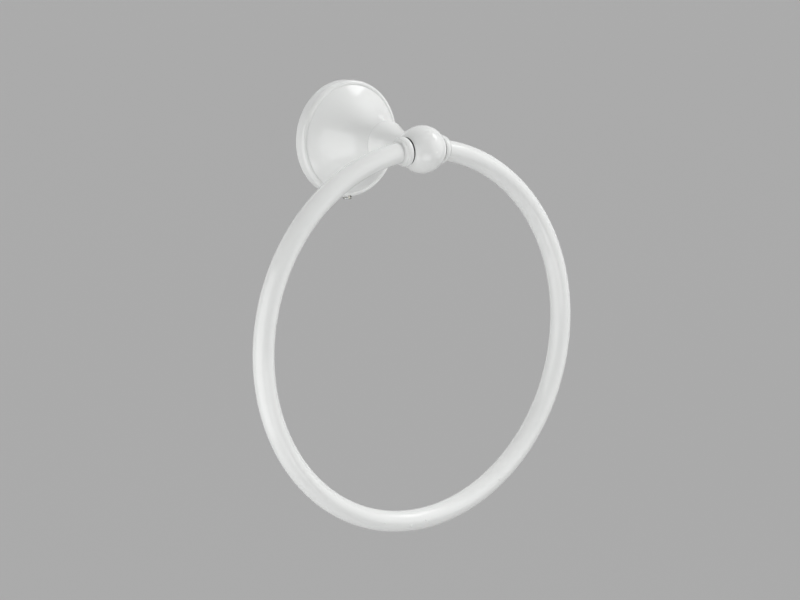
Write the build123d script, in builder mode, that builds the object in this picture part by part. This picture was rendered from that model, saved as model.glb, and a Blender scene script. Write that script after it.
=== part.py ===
from build123d import *
import os
from math import acos, asin, cos, degrees, radians, sin, sqrt, tan

# A wall-mounted towel ring, in millimetres. The wall is the plane Y = 0, the post stands out of it
# towards -Y, +Z is up, and the origin is the centre of the flange on the wall.

# Flange, a round trumpet: radii from its axis, depths forward of the wall
flange_radius = 25.0
rim_depth = 3.75
lip_radius = 1.5
lip_wrap = 110
throat_radius = 9.5
throat_depth = 29.6
shell_wall = 2.4
core_depth = 18.0

# Neck and ball
neck_bead_length = 1.3
neck_root_radius = 9.8
neck_tip_radius = 5.85
ball_radius = 10.0
ball_depth = 54.5
pivot_radius = 3.0
pivot_clearance = 0.08

# Hoop, a bent tube that hangs to the left by its side play
hoop_radius = 78.2
tube_radius = 4.4
tube_wall = 1.0
tube_end_offset = 12.1
tube_end_round = 0.4
side_play = 0.35

# Ferrules: radii from the tube's axis, lengths from the tube's end
cove_length = 1.3
cove_radius = 3.9
cove_sag = 0.45
crease_radius = 5.85
bead_length = 2.65
bead_radius = 6.25
bead_edge_radius = 5.95
plug_length = 3.0
plug_clearance = 0.1
ball_gap = 0.1
spigot_end_offset = 2.0

# Wall bracket
bracket_depth = 5.0
bracket_width = 17.0
bracket_back_height = 25.0
bracket_corner = 2.0
bevel_angle = 26.5
screw_spacing = 18.0
screw_hole_radius = 2.25
screw_head_radius = 4.2
screw_head_angle = 90

# Ledge in the flange that hooks over the bracket
ledge_width = 14.0
ledge_setback = 0.5
seat_clearance = 0.05

# Set screw and its boss in the flange
thread_radius = 2.0
thread_clearance = 0.05
set_screw_depth = 3.0
set_screw_proud = 1.0
point_radius = 0.2
socket_across_flats = 2.0
hex_depth = 2.0
boss_width = 9.0
boss_top = 18.0

# Places worked out from the sizes above
lip_center = (flange_radius - lip_radius, rim_depth)
flare_mouth_radius = lip_center[0] + lip_radius * cos(radians(lip_wrap))
flare_mouth_depth = lip_center[1] + lip_radius * sin(radians(lip_wrap))
flare_drop = flare_mouth_radius - throat_radius
flare_length = throat_depth - flare_mouth_depth
flare_radius = (flare_drop**2 + flare_length**2) / (2 * flare_drop)
flare_center = (throat_radius + flare_radius, throat_depth)
ball_center = (0, -ball_depth, 0)
hoop_middle = -side_play
hoop_axis = Axis((hoop_middle, -ball_depth, -hoop_radius), (0, 1, 0))
tube_end_angle = degrees(asin(tube_end_offset / hoop_radius))
tube_end = (
    hoop_middle + tube_end_offset,
    -ball_depth,
    -hoop_radius * (1 - cos(radians(tube_end_angle))),
)
tube_direction = (cos(radians(tube_end_angle)), 0, -sin(radians(tube_end_angle)))
tube_normal = (sin(radians(tube_end_angle)), 0, cos(radians(tube_end_angle)))


def bevel_height(depth):
    """Height of the bracket's bevelled edge above its centre, at a depth forward of the wall."""
    return bracket_back_height / 2 + depth * tan(radians(bevel_angle))


# Profiles of the post: local X is the radius and local Y the depth forward of the wall
axial = Plane(origin=(0, 0, 0), x_dir=(1, 0, 0), z_dir=(0, 0, -1))

os.makedirs("parts", exist_ok=True)

# The hollow behind the flange, with the ledge and the boss left standing in it
with BuildPart() as hollow:
    core_radius = flange_radius - shell_wall
    core_arc_radius = flare_radius + shell_wall
    core_arc_start = throat_depth - sqrt(core_arc_radius**2 - (flare_center[0] - core_radius) ** 2)
    core_end_radius = flare_center[0] - sqrt(core_arc_radius**2 - (throat_depth - core_depth) ** 2)
    with BuildSketch(axial):
        with BuildLine():
            Polyline((0, core_depth), (0, 0), (core_radius, 0), (core_radius, core_arc_start))
            RadiusArc((core_radius, core_arc_start), (core_end_radius, core_depth), core_arc_radius)
            Line((core_end_radius, core_depth), (0, core_depth))
        make_face()
    revolve(axis=Axis.Y)
    with BuildSketch(Plane.YZ):
        with BuildLine():
            seat_gap = seat_clearance / cos(radians(bevel_angle))
            hook_front = bracket_depth + seat_clearance
            hook_height = bevel_height(bracket_depth) + seat_gap
            Polyline(
                (-ledge_setback, bevel_height(ledge_setback) + seat_gap),
                (-hook_front, hook_height),
                (-core_depth, hook_height),
                (-core_depth, flange_radius),
                (-ledge_setback, flange_radius),
                close=True,
            )
        make_face()
    extrude(amount=ledge_width / 2, both=True, mode=Mode.SUBTRACT)
    with BuildSketch(Plane.XZ):
        with Locations((0, -boss_top)):
            Rectangle(boss_width, flange_radius, align=(Align.CENTER, Align.MAX))
    extrude(amount=core_depth, mode=Mode.SUBTRACT)

# Post: flange, neck and ball in one casting
with BuildPart() as post:
    neck_tip_angle = -degrees(acos(neck_tip_radius / ball_radius))
    neck_tip_depth = ball_depth - sqrt(ball_radius**2 - neck_tip_radius**2)
    neck_root = (neck_root_radius, throat_depth + neck_bead_length)
    throat = (throat_radius, throat_depth)
    with BuildSketch(axial):
        with BuildLine():
            Polyline((0, 0), (flange_radius, 0), (flange_radius, rim_depth))
            CenterArc(lip_center, lip_radius, 0, lip_wrap)
            TangentArc(throat, (flare_mouth_radius, flare_mouth_depth), tangent=(0, -1))
            neck = TangentArc((neck_tip_radius, neck_tip_depth), neck_root, tangent=(0, -1))
            TangentArc(neck_root, throat, tangent=neck % 1)
            CenterArc((0, ball_depth), ball_radius, neck_tip_angle, 90 - neck_tip_angle)
            Line((0, ball_depth + ball_radius), (0, 0))
        make_face()
    revolve(axis=Axis.Y)
    add(hollow.part, mode=Mode.SUBTRACT)
    with Locations(Plane(origin=ball_center, z_dir=(1, 0, 0))):
        Cylinder(pivot_radius + pivot_clearance, 2 * ball_radius, mode=Mode.SUBTRACT)
    with Locations((0, -set_screw_depth, -flange_radius)):
        Cylinder(
            thread_radius + thread_clearance,
            2 * (flange_radius - boss_top),
            mode=Mode.SUBTRACT,
        )
post.part.label = "post"
export_step(post.part, "parts/post.step")

# Hoop: a tube bent round, open at the top between the two ferrules, its ends rounded outside
with BuildPart() as ring:
    with BuildSketch(Plane(origin=tube_end, x_dir=(0, 1, 0), z_dir=tube_direction)):
        Circle(tube_radius)
        Circle(tube_radius - tube_wall, mode=Mode.SUBTRACT)
    revolve(axis=hoop_axis, revolution_arc=360 - 2 * tube_end_angle)
    end_edges = ring.faces().filter_by(GeomType.PLANE).edges()
    fillet(end_edges.group_by(SortBy.RADIUS)[-1], tube_end_round)
ring.part.label = "ring"
export_step(ring.part, "parts/ring.step")

# Right ferrule: a turned collar with a plug in the tube, a cove that starts below the tube's surface,
# a bead dished to the ball, and a spigot that turns in the ball
with BuildPart() as right_ferrule:
    with BuildSketch(Plane(origin=tube_end, x_dir=(0, -1, 0), z_dir=tube_normal)):
        with BuildLine():
            plug_radius = tube_radius - tube_wall - plug_clearance
            bead_end = -cove_length - bead_length
            Polyline(
                (bead_edge_radius, bead_end),
                (0, bead_end),
                (0, plug_length),
                (plug_radius, plug_length),
                (plug_radius, 0),
                (cove_radius, 0),
            )
            SagittaArc((cove_radius, 0), (crease_radius, -cove_length), -cove_sag)
            ThreePointArc(
                (crease_radius, -cove_length),
                (bead_radius, -cove_length - bead_length / 2),
                (bead_edge_radius, bead_end),
            )
        make_face()
    revolve(axis=Axis(tube_end, tube_direction))
    with Locations((hoop_middle, -ball_depth, 0)):
        Sphere(ball_radius + ball_gap + side_play, mode=Mode.SUBTRACT)
    spigot_end = (hoop_middle + spigot_end_offset, -ball_depth, 0)
    with BuildSketch(Plane(origin=spigot_end, z_dir=(1, 0, 0))):
        Circle(pivot_radius)
    extrude(until=Until.NEXT)
right_ferrule.part.label = "right_ferrule"
export_step(right_ferrule.part, "parts/right_ferrule.step")

# Left ferrule: the same collar on the other side of the ball
with BuildPart() as left_ferrule:
    add(right_ferrule.part.mirror(Plane.YZ.offset(hoop_middle)))
left_ferrule.part.label = "left_ferrule"
export_step(left_ferrule.part, "parts/left_ferrule.step")

# Wall bracket: a plate with bevelled top and bottom edges and two countersunk screw holes
with BuildPart() as wall_bracket:
    with BuildSketch(Plane.YZ):
        with BuildLine():
            Polyline(
                (0, bevel_height(0)),
                (-bracket_depth, bevel_height(bracket_depth)),
                (-bracket_depth, -bevel_height(bracket_depth)),
                (0, -bevel_height(0)),
                close=True,
            )
        make_face()
    extrude(amount=bracket_width / 2, both=True)
    side_faces = wall_bracket.faces().filter_by(Axis.X)
    fillet(side_faces.edges().filter_by(Plane.YZ).filter_by(Axis.Z, reverse=True), bracket_corner)
    with Locations(Plane(origin=(0, -bracket_depth, 0), z_dir=(0, -1, 0), x_dir=(1, 0, 0))):
        with GridLocations(0, screw_spacing, 1, 2):
            CounterSinkHole(screw_hole_radius, screw_head_radius, counter_sink_angle=screw_head_angle)
wall_bracket.part.label = "wall_bracket"
export_step(wall_bracket.part, "parts/wall_bracket.step")

# Set screw: a headless screw with a hexagon socket below and a cone point under the bracket's edge
with BuildPart() as set_screw:
    screw_bottom = -flange_radius - set_screw_proud
    point_height = -bevel_height(set_screw_depth + point_radius) - seat_clearance
    cone_length = thread_radius - point_radius
    with BuildSketch(Plane.XZ.offset(set_screw_depth)):
        with BuildLine():
            Polyline(
                (0, screw_bottom),
                (thread_radius, screw_bottom),
                (thread_radius, point_height - cone_length),
                (point_radius, point_height),
                (0, point_height),
                close=True,
            )
        make_face()
    revolve(axis=Axis((0, -set_screw_depth, 0), (0, 0, 1)))
    with BuildSketch(Plane.XY.offset(screw_bottom)):
        with Locations((0, -set_screw_depth)):
            RegularPolygon(socket_across_flats / 2, 6, major_radius=False)
    extrude(amount=hex_depth, mode=Mode.SUBTRACT)
set_screw.part.label = "set_screw"
export_step(set_screw.part, "parts/set_screw.step")
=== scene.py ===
from math import cos, pi, radians, sin

import bmesh
import bpy
from mathutils import Matrix, Vector


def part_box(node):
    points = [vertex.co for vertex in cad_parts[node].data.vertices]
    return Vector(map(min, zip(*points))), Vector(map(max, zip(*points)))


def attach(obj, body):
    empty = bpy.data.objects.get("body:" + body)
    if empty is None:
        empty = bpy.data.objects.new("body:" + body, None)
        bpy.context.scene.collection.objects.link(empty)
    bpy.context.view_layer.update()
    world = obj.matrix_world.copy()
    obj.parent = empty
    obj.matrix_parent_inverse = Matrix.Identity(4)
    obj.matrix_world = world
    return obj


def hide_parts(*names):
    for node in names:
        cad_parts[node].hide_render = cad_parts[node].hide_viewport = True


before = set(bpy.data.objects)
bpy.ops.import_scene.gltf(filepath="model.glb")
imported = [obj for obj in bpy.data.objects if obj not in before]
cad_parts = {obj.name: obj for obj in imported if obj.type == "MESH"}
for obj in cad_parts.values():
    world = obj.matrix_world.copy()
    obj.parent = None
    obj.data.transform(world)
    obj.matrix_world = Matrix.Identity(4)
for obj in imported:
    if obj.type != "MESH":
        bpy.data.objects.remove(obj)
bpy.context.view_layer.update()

# Wall bracket: a small plate with bevelled top and bottom edges, die cast in zinc alloy and tumbled.
# It is screwed to the wall first and stays bare, because the flange covers it.
dull_zinc = (0.34, 0.35, 0.37, 1)
bright_zinc = (0.56, 0.57, 0.58, 1)
zinc_cloud_width = 0.006
zinc_cloud_height = 0.00002
pebble_width = 0.0007
pebble_height = 0.000012


class Signal:
    """The output of a node. Arithmetic on it adds Math nodes to the tree that it belongs to."""

    def __init__(self, socket):
        self.socket = socket
        self.tree = socket.id_data

    def feed(self, socket):
        self.tree.links.new(self.socket, socket)

    def node(self, kind, settings, inputs, output=0):
        made = self.tree.nodes.new(kind)
        for name, value in settings.items():
            setattr(made, name, value)
        for key, value in inputs.items():
            if isinstance(value, Signal):
                value.feed(made.inputs[key])
            else:
                made.inputs[key].default_value = value
        return Signal(made.outputs[output])

    def math(self, operation, *values):
        return self.node("ShaderNodeMath", {"operation": operation}, dict(enumerate(values)))

    def __add__(self, other):
        return self.math("ADD", self, other)

    def __sub__(self, other):
        return self.math("SUBTRACT", self, other)

    def __rsub__(self, other):
        return self.math("SUBTRACT", other, self)

    def __mul__(self, other):
        return self.math("MULTIPLY", self, other)

    def __truediv__(self, other):
        return self.math("DIVIDE", self, other)

    def __pow__(self, other):
        return self.math("POWER", self, other)

    __radd__ = __add__
    __rmul__ = __mul__


def new_material(name):
    """A material, its shader node and the coordinates of the piece that wears it, in metres."""
    material = bpy.data.materials.new(name)
    material.use_nodes = True
    nodes = material.node_tree.nodes
    return material, nodes["Principled BSDF"], Signal(nodes.new("ShaderNodeTexCoord").outputs["Object"])


def noise(place, width, detail=2.0):
    """Smooth noise from 0 to 1, with blots of about the given width."""
    inputs = {"Vector": place, "Scale": 1 / width, "Detail": detail}
    return place.node("ShaderNodeTexNoise", {}, inputs)


def ramp(value, start, end):
    """A smooth rise from 0 to 1 while the value goes from start to end."""
    return value.node(
        "ShaderNodeMapRange",
        {"interpolation_type": "SMOOTHSTEP"},
        {"Value": value, "From Min": start, "From Max": end},
    )


def blend(share, first, second):
    """The first colour where the share is 0, the second where it is 1."""
    share_input, first_input, second_input, color_output = 0, 6, 7, 2
    inputs = {share_input: share, first_input: first, second_input: second}
    return share.node("ShaderNodeMix", {"data_type": "RGBA"}, inputs, color_output)


def dress(shader, color, roughness, relief):
    """Gives a shader its colour, its roughness and its relief, a height in metres."""
    color.feed(shader.inputs["Base Color"])
    roughness.feed(shader.inputs["Roughness"])
    bump = relief.node("ShaderNodeBump", {}, {"Strength": 1.0, "Distance": 1.0, "Height": relief})
    bump.feed(shader.inputs["Normal"])


def cast_zinc(place):
    """Colour, roughness and relief of tumbled zinc: dull clouds over fine pebbling."""
    cloud = noise(place, zinc_cloud_width, detail=4.0)
    pebble = noise(place, pebble_width)
    color = blend(ramp(cloud, 0.3, 0.7), dull_zinc, bright_zinc)
    return color, 0.34 + 0.3 * pebble, pebble_height * pebble + zinc_cloud_height * cloud


zinc, zinc_shader, place = new_material("tumbled_zinc")
zinc_shader.inputs["Metallic"].default_value = 1.0
dress(zinc_shader, *cast_zinc(place))
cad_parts["wall_bracket"].material_slots[0].material = zinc

# Post: flange, neck and ball in one zinc casting, polished, then enamelled white and stoved. It hooks
# over the bracket. The spray reaches a little way into the hollow behind and leaves the rest bare.
# A near-black ring is painted on the ball round each end of its bore, where the ferrules meet it:
# painted shade of the gap between ball and ferrule.
# A line halfway through the flange's shell parts its hollow from its outside: radii from the flange's
# axis, depths forward of the wall.
mouth_depth = 0.0052
hollow_depth = 0.0182
flare_radius = 0.0289
flare_center = 0.0384
throat_depth = 0.0296
half_wall = 0.0012
rim_wall_radius = 0.0238
# Where the spray in the hollow starts to thin, where it ends, and how ragged its edge is.
spray_start = 0.002
spray_end = 0.010
spray_ragged = 0.006
spray_edge_width = 0.004
# The depth at which the ball starts, how far out on it the painted gap shade starts and is full, and
# how much that grows with the height.
ball_start = 0.040
gap_shade_start = 0.00803
gap_shade_end = 0.00813
gap_shade_lean = 0.05
# Near-black colour and roughness of the painted gap shade on the ball.
gap_shade_color = (0.06, 0.06, 0.065, 1)
gap_shade_roughness = 0.4
grey_white = (0.81, 0.82, 0.81, 1)
clean_white = (0.85, 0.86, 0.85, 1)
enamel_cloud_width = 0.018
gloss_width = 0.005
peel_width = 0.0026
peel_height = 0.000004


def enamel(place):
    """Colour, roughness and relief of the stoved enamel: a clean white with a faint orange peel."""
    color = blend(noise(place, enamel_cloud_width), grey_white, clean_white)
    roughness = 0.10 + 0.06 * noise(place, gloss_width)
    return color, roughness, peel_height * noise(place, peel_width, detail=1.0)


post_paint, post_shader, place = new_material("post_enamel")
x, y, z = (place.node("ShaderNodeSeparateXYZ", {}, {"Vector": place}, axis) for axis in "XYZ")
depth = 0 - y
flare_depth = depth.math("MAXIMUM", depth, mouth_depth)
flare_wall = flare_center - (flare_radius**2 - (throat_depth - flare_depth) ** 2) ** 0.5 - half_wall
wall = flare_wall.math("MINIMUM", flare_wall, rim_wall_radius)
within = wall.math("GREATER_THAN", wall, (x * x + z * z) ** 0.5)
hollow = within * depth.math("LESS_THAN", depth, hollow_depth)
ragged = spray_ragged * (noise(place, spray_edge_width, detail=5.0) - 0.5)
bare = hollow * ramp(depth + ragged, spray_start, spray_end)
on_ball = depth.math("GREATER_THAN", depth, ball_start)
# Painted shade: a near-black ring on the ball where the gap to each ferrule lies in shadow.
gap_shade = on_ball * ramp(x.math("ABSOLUTE", x) - gap_shade_lean * z, gap_shade_start, gap_shade_end)
white, white_roughness, peel = enamel(place)
grey, grey_roughness, pebble = cast_zinc(place)
# The painted gap shade goes over both the white enamel and the bare zinc.
dress(
    post_shader,
    blend(gap_shade, blend(bare, white, grey), gap_shade_color),
    white_roughness + bare * (grey_roughness - white_roughness) + gap_shade * gap_shade_roughness,
    peel + bare * (pebble - peel),
)
bare.feed(post_shader.inputs["Metallic"])
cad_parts["post"].material_slots[0].material = post_paint

# Set screw: a headless steel screw with a rolled thread, a hexagon socket and a cone point, zinc
# plated. It goes up through the rim's bottom and its point draws the flange on to the bracket.
screw_low, screw_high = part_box("set_screw")
screw_radius = (screw_high.x - screw_low.x) / 2
screw_axis = (screw_low + screw_high) / 2
screw_axis.z = 0
thread_pitch = 0.0007
thread_root = 0.00157
thread_flat = 0.12
socket_flat = 0.001
socket_depth = 0.002
end_chamfer = 0.00035
point_radius = 0.0002
columns = 48
rings_per_pitch = 8
blue_plating = (0.60, 0.62, 0.65, 1)
straw_plating = (0.66, 0.65, 0.60, 1)
plating_cloud_width = 0.0015
plating_gloss_width = 0.0005
plating_grain_width = 0.0002
plating_grain_height = 0.000002


def socket_radius(angle):
    """Distance from the screw's axis to the hexagon socket's wall."""
    return socket_flat / cos(angle % radians(60) - radians(30))


def turned(name, rings, bottom, top):
    """A closed mesh through rings of points, from a point at its bottom to a point at its top."""
    shape = bmesh.new()
    loops = [[shape.verts.new(point) for point in ring] for ring in rings]
    for lower, upper in zip(loops, loops[1:]):
        for i in range(len(lower)):
            j = (i + 1) % len(lower)
            shape.faces.new((lower[i], lower[j], upper[j], upper[i]))
    for loop, tip in ((loops[0], shape.verts.new(bottom)), (loops[-1], shape.verts.new(top))):
        for i in range(len(loop)):
            shape.faces.new((loop[i], loop[(i + 1) % len(loop)], tip))
    bmesh.ops.recalc_face_normals(shape, faces=shape.faces)
    mesh = bpy.data.meshes.new(name)
    shape.to_mesh(mesh)
    shape.free()
    return mesh


def screw_blank():
    """The screw before its thread is rolled, with rings close enough together for the thread."""
    step = thread_pitch / rings_per_pitch
    cone_start = screw_high.z - (screw_radius - point_radius)
    angles = [2 * pi * i / columns for i in range(columns)]

    def ring(radius_at, height):
        spots = [(radius_at(angle) * cos(angle), radius_at(angle) * sin(angle)) for angle in angles]
        return [screw_axis + Vector((across, along, height)) for across, along in spots]

    rings = [ring(socket_radius, screw_low.z + socket_depth), ring(socket_radius, screw_low.z)]
    steps = int((screw_high.z - screw_low.z) / step)
    for i in range(steps + 1):
        height = screw_low.z + (screw_high.z - screw_low.z) * i / steps
        chamfered = screw_radius - max(0, end_chamfer - (height - screw_low.z))
        radius = min(chamfered, screw_radius - (height - cone_start))
        rings.append(ring(lambda angle: radius, height))
    tips = [screw_axis + Vector((0, 0, height)) for height in (screw_low.z + socket_depth, screw_high.z)]
    return turned("set_screw_blank", rings, *tips)


def new_tree(name, kinds):
    """A tree of geometry nodes with named inputs of the given kinds, and what comes in by each."""
    tree = bpy.data.node_groups.new(name, "GeometryNodeTree")
    for label, kind in kinds.items():
        tree.interface.new_socket(label, in_out="INPUT", socket_type="NodeSocket" + kind)
    tree.interface.new_socket("Geometry", in_out="OUTPUT", socket_type="NodeSocketGeometry")
    entry = tree.nodes.new("NodeGroupInput")
    return tree, {label: Signal(entry.outputs[label]) for label in kinds}


def end_tree(shape, material):
    """Ends a tree: the shape is made plain mesh, wears the material and goes out."""
    whole = shape.node("GeometryNodeRealizeInstances", {}, {"Geometry": shape})
    worn = whole.node("GeometryNodeSetMaterial", {}, {"Geometry": whole, "Material": material})
    worn.feed(worn.tree.nodes.new("NodeGroupOutput").inputs["Geometry"])


def thread_tree():
    """Geometry nodes that roll a helical thread into a shape turned about a vertical axis."""
    kinds = {
        "Geometry": "Geometry",
        "Axis": "Vector",
        "Crest Radius": "Float",
        "Root Radius": "Float",
        "Pitch": "Float",
        "Flat": "Float",
        "Material": "Material",
    }
    tree, given = new_tree("rolled_thread", kinds)
    here = Signal(tree.nodes.new("GeometryNodeInputPosition").outputs[0])
    axis = given["Axis"]
    away = here.node("ShaderNodeVectorMath", {"operation": "SUBTRACT"}, {0: here, 1: axis})
    x, y, z = (away.node("ShaderNodeSeparateXYZ", {}, {"Vector": away}, name) for name in "XYZ")
    radius = (x * x + y * y) ** 0.5
    turn = z / given["Pitch"] - x.math("ARCTAN2", y, x) / (2 * pi)
    slope = 2 * x.math("PINGPONG", turn, 0.5)
    flat = given["Flat"]
    ridge = x.node("ShaderNodeMapRange", {}, {"Value": slope, "From Min": flat, "From Max": 1 - flat})
    thread = given["Root Radius"] + ridge * (given["Crest Radius"] - given["Root Radius"])
    share = x.math("MINIMUM", radius, thread) / radius
    rolled = away.node("ShaderNodeCombineXYZ", {}, {"X": x * share, "Y": y * share, "Z": z})
    place = rolled.node("ShaderNodeVectorMath", {"operation": "ADD"}, {0: rolled, 1: axis})
    shape = place.node("GeometryNodeSetPosition", {}, {"Geometry": given["Geometry"], "Position": place})
    end_tree(shape, given["Material"])
    return tree


def grown(name, mesh, tree, values):
    """A piece whose mesh is what the tree makes of the given mesh, with the tree's inputs set."""
    piece = bpy.data.objects.new(name, mesh)
    bpy.context.scene.collection.objects.link(piece)
    modifier = piece.modifiers.new(tree.name, "NODES")
    modifier.node_group = tree
    for socket in tree.interface.items_tree:
        if socket.in_out == "INPUT" and socket.name in values:
            modifier[socket.identifier] = values[socket.name]
    result = piece.evaluated_get(bpy.context.evaluated_depsgraph_get())
    made = bpy.data.meshes.new_from_object(result)
    piece.modifiers.remove(modifier)
    piece.data = made
    return piece


steel, steel_shader, place = new_material("plated_steel")
steel_shader.inputs["Metallic"].default_value = 1.0
tint = blend(ramp(noise(place, plating_cloud_width), 0.35, 0.65), blue_plating, straw_plating)
roughness = 0.14 + 0.16 * noise(place, plating_gloss_width)
dress(steel_shader, tint, roughness, plating_grain_height * noise(place, plating_grain_width))

thread_sizes = {
    "Axis": screw_axis,
    "Crest Radius": screw_radius,
    "Root Radius": thread_root,
    "Pitch": thread_pitch,
    "Flat": thread_flat,
    "Material": steel,
}
screw = grown("threaded_set_screw", screw_blank(), thread_tree(), thread_sizes)
screw.data.shade_smooth()
screw.data.set_sharp_from_angle(angle=radians(35))
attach(screw, "base")
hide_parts("set_screw")

# Ferrules: two turned collars, enamelled like the post. Each is plugged into an end of the hoop's
# tube and turns on a spigot in the ball.
ferrule_paint, ferrule_shader, place = new_material("ferrule_enamel")
dress(ferrule_shader, *enamel(place))
for side in ("left_ferrule", "right_ferrule"):
    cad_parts[side].material_slots[0].material = ferrule_paint

# Hoop: a steel tube bent round and enamelled. Dust under the enamel left a few low nibs near the
# bottom of its front.
ring_low, ring_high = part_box("ring")
outer_radius = (ring_high.x - ring_low.x) / 2
tube_radius = (ring_high.y - ring_low.y) / 2
hoop_radius = outer_radius - tube_radius
hoop_center = Vector(
    ((ring_low.x + ring_high.x) / 2, (ring_low.y + ring_high.y) / 2, ring_low.z + outer_radius)
)
# A nib is a ball flattened to this share of its width, and half of it lies in the tube.
nib_rise = 0.4
# For each nib, degrees round the hoop from its bottom to the right, degrees round the tube from its
# outside to the front, and its width.
nibs = (
    (-14.0, 85, 0.0008),
    (-3.6, 75, 0.0017),
    (1.9, 95, 0.0009),
    (3.1, 84, 0.0008),
    (33.0, 93, 0.0012),
)


def nib_seats():
    """A point on the tube for each nib, with the nib's width and the way that it faces."""
    seats, facing, widths = [], [], []
    for round_hoop, round_tube, width in nibs:
        out = Vector((sin(radians(round_hoop)), 0, -cos(radians(round_hoop))))
        normal = cos(radians(round_tube)) * out + sin(radians(round_tube)) * Vector((0, -1, 0))
        seats.append(hoop_center + hoop_radius * out + tube_radius * normal)
        facing.extend(normal)
        widths.append(width)
    mesh = bpy.data.meshes.new("nib_seats")
    mesh.from_pydata(seats, [], [])
    mesh.attributes.new("facing", "FLOAT_VECTOR", "POINT").data.foreach_set("vector", facing)
    mesh.attributes.new("width", "FLOAT", "POINT").data.foreach_set("value", widths)
    return mesh


def nib_tree():
    """Geometry nodes that set a low dome on each point, turned to face out of the tube."""
    kinds = {"Geometry": "Geometry", "Rise": "Float", "Material": "Material"}
    tree, given = new_tree("paint_nibs", kinds)
    seats = given["Geometry"]
    attribute = "GeometryNodeInputNamedAttribute"
    facing = seats.node(attribute, {"data_type": "FLOAT_VECTOR"}, {"Name": "facing"})
    width = seats.node(attribute, {"data_type": "FLOAT"}, {"Name": "width"})
    turn = facing.node("FunctionNodeAlignRotationToVector", {"axis": "Z"}, {"Vector": facing})
    size = width.node("ShaderNodeCombineXYZ", {}, {"X": width, "Y": width, "Z": width * given["Rise"]})
    dome = seats.node("GeometryNodeMeshIcoSphere", {}, {"Radius": 0.5, "Subdivisions": 3})
    domes = seats.node(
        "GeometryNodeInstanceOnPoints",
        {},
        {"Points": seats, "Instance": dome, "Rotation": turn, "Scale": size},
    )
    end_tree(domes, given["Material"])
    return tree


ring_paint, ring_shader, place = new_material("hoop_enamel")
dress(ring_shader, *enamel(place))
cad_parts["ring"].material_slots[0].material = ring_paint

nib_bumps = grown("paint_nibs", nib_seats(), nib_tree(), {"Rise": nib_rise, "Material": ring_paint})
nib_bumps.data.shade_smooth()
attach(nib_bumps, "hoop")

# Camera: to the left of the hoop and a little above it, with a long lens.
camera_data = bpy.data.cameras.new("camera")
camera = bpy.data.objects.new("camera", camera_data)
bpy.context.scene.collection.objects.link(camera)
camera_data.sensor_width = 36.0
camera_data.lens = 120.99
camera_place = Matrix.Translation((-0.68110, -0.92270, 0.11170))
camera_heading = Matrix.Rotation(radians(-37.694), 4, "Z")
camera_pitch = Matrix.Rotation(radians(90 - 8.994), 4, "X")
camera_roll = Matrix.Rotation(radians(0.955), 4, "Z")
camera.matrix_world = camera_place @ camera_heading @ camera_pitch @ camera_roll
bpy.context.scene.camera = camera

# Light: soft boxes high on the right, in front on the right, tall on the left and low in front, in a
# room that is lighter above than below. Matt light, which the gloss doesn't show, comes off the ceiling
# and from behind. The camera and the gloss see a plain backdrop.
all_round = 0.05
overhead = 0.42
backdrop = 0.39
aim = Vector((0, -0.03, 0))
# Name, way from the object, distance, width, height, radiance, and whether the gloss shows the box.
soft_boxes = (
    ("ceiling_light", (0.600, -0.115, 0.790), 1.3, 0.7, 0.7, 5.7, False),
    ("high_box", (0.662, -0.295, 0.689), 1.3, 0.45, 0.45, 3.6, True),
    ("right_box", (0.680, -0.724, 0.113), 0.7, 0.8, 0.86, 1.1, True),
    ("left_box", (-0.939, -0.122, -0.214), 0.65, 0.8, 1.0, 1.55, True),
    ("front_box", (-0.159, -0.832, -0.531), 0.6, 0.4, 0.3, 1.9, True),
    ("back_light", (0.150, 0.950, 0.280), 1.3, 1.4, 1.4, 1.4, False),
)


def soft_box(name, way, distance, width, height, radiance, in_gloss):
    """An even rectangular lamp turned to the object, which the camera doesn't see."""
    lamp = bpy.data.lights.new(name, "AREA")
    lamp.shape = "RECTANGLE"
    lamp.size = width
    lamp.size_y = height
    lamp.energy = radiance * pi * width * height
    box = bpy.data.objects.new(name, lamp)
    bpy.context.scene.collection.objects.link(box)
    way = Vector(way).normalized()
    turn = (-way).to_track_quat("-Z", "Y").to_matrix().to_4x4()
    box.matrix_world = Matrix.Translation(aim + distance * way) @ turn
    box.visible_camera = False
    box.visible_glossy = in_gloss


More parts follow.
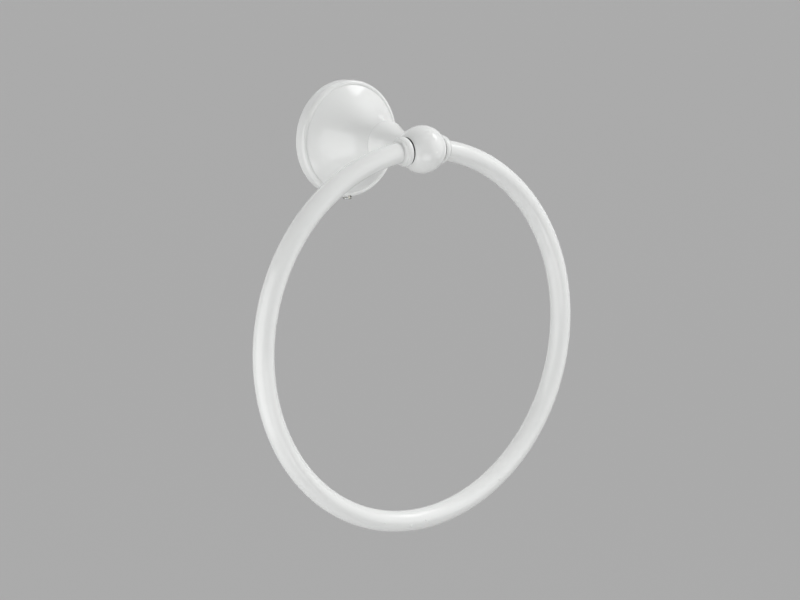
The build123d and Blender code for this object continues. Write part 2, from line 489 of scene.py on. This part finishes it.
def seen(tree):
    """1 for the rays that show a background: from the camera, off gloss and through glass."""
    path = tree.nodes.new("ShaderNodeLightPath")
    camera_ray, glossy, through = (
        Signal(path.outputs[name]) for name in ("Is Camera Ray", "Is Glossy Ray", "Is Transmission Ray")
    )
    return camera_ray.math("MAXIMUM", camera_ray.math("MAXIMUM", camera_ray, glossy), through)


for box in soft_boxes:
    soft_box(*box)

room = bpy.data.worlds.new("room")
room.use_nodes = True
room_light = room.node_tree.nodes["Background"]
room_light.inputs["Color"].default_value = (1, 1, 1, 1)
way = Signal(room.node_tree.nodes.new("ShaderNodeTexCoord").outputs["Generated"])
height = way.node("ShaderNodeSeparateXYZ", {}, {"Vector": way}, "Z")
sky = all_round + overhead * height.math("MAXIMUM", height, 0.0)
(sky + (backdrop - sky) * seen(room.node_tree)).feed(room_light.inputs["Strength"])
bpy.context.scene.world = room
bpy.context.scene.view_settings.view_transform = "Standard"

# Floor: plain, pale and matt, as far below the ring as a ring is hung above one. What the lamps
# leave dark far from the object is made up to the backdrop's level for the camera alone.
floor_height = -1.3
floor_reach = 80.0
floor_color = 0.42
level_share = 2 / 3  # of the overhead light, on a level face
floor_light = backdrop - floor_color * (all_round + overhead * level_share)
floor_mesh = bpy.data.meshes.new("floor")
floor_corners = [(-1, -1), (1, -1), (1, 1), (-1, 1)]
floor_points = [(floor_reach * i, floor_reach * j, floor_height) for i, j in floor_corners]
floor_mesh.from_pydata(floor_points, [], [range(4)])
floor = bpy.data.objects.new("floor", floor_mesh)
bpy.context.scene.collection.objects.link(floor)
floor_paint, floor_shader, _ = new_material("floor_grey")
floor_shader.inputs["Base Color"].default_value = (floor_color, floor_color, floor_color, 1)
floor_shader.inputs["Roughness"].default_value = 0.9
floor_shader.inputs["Emission Strength"].default_value = 1.0
floor_glow = blend(seen(floor_paint.node_tree), (0, 0, 0, 1), (floor_light, floor_light, floor_light, 1))
floor_glow.feed(floor_shader.inputs["Emission Color"])
floor_mesh.materials.append(floor_paint)
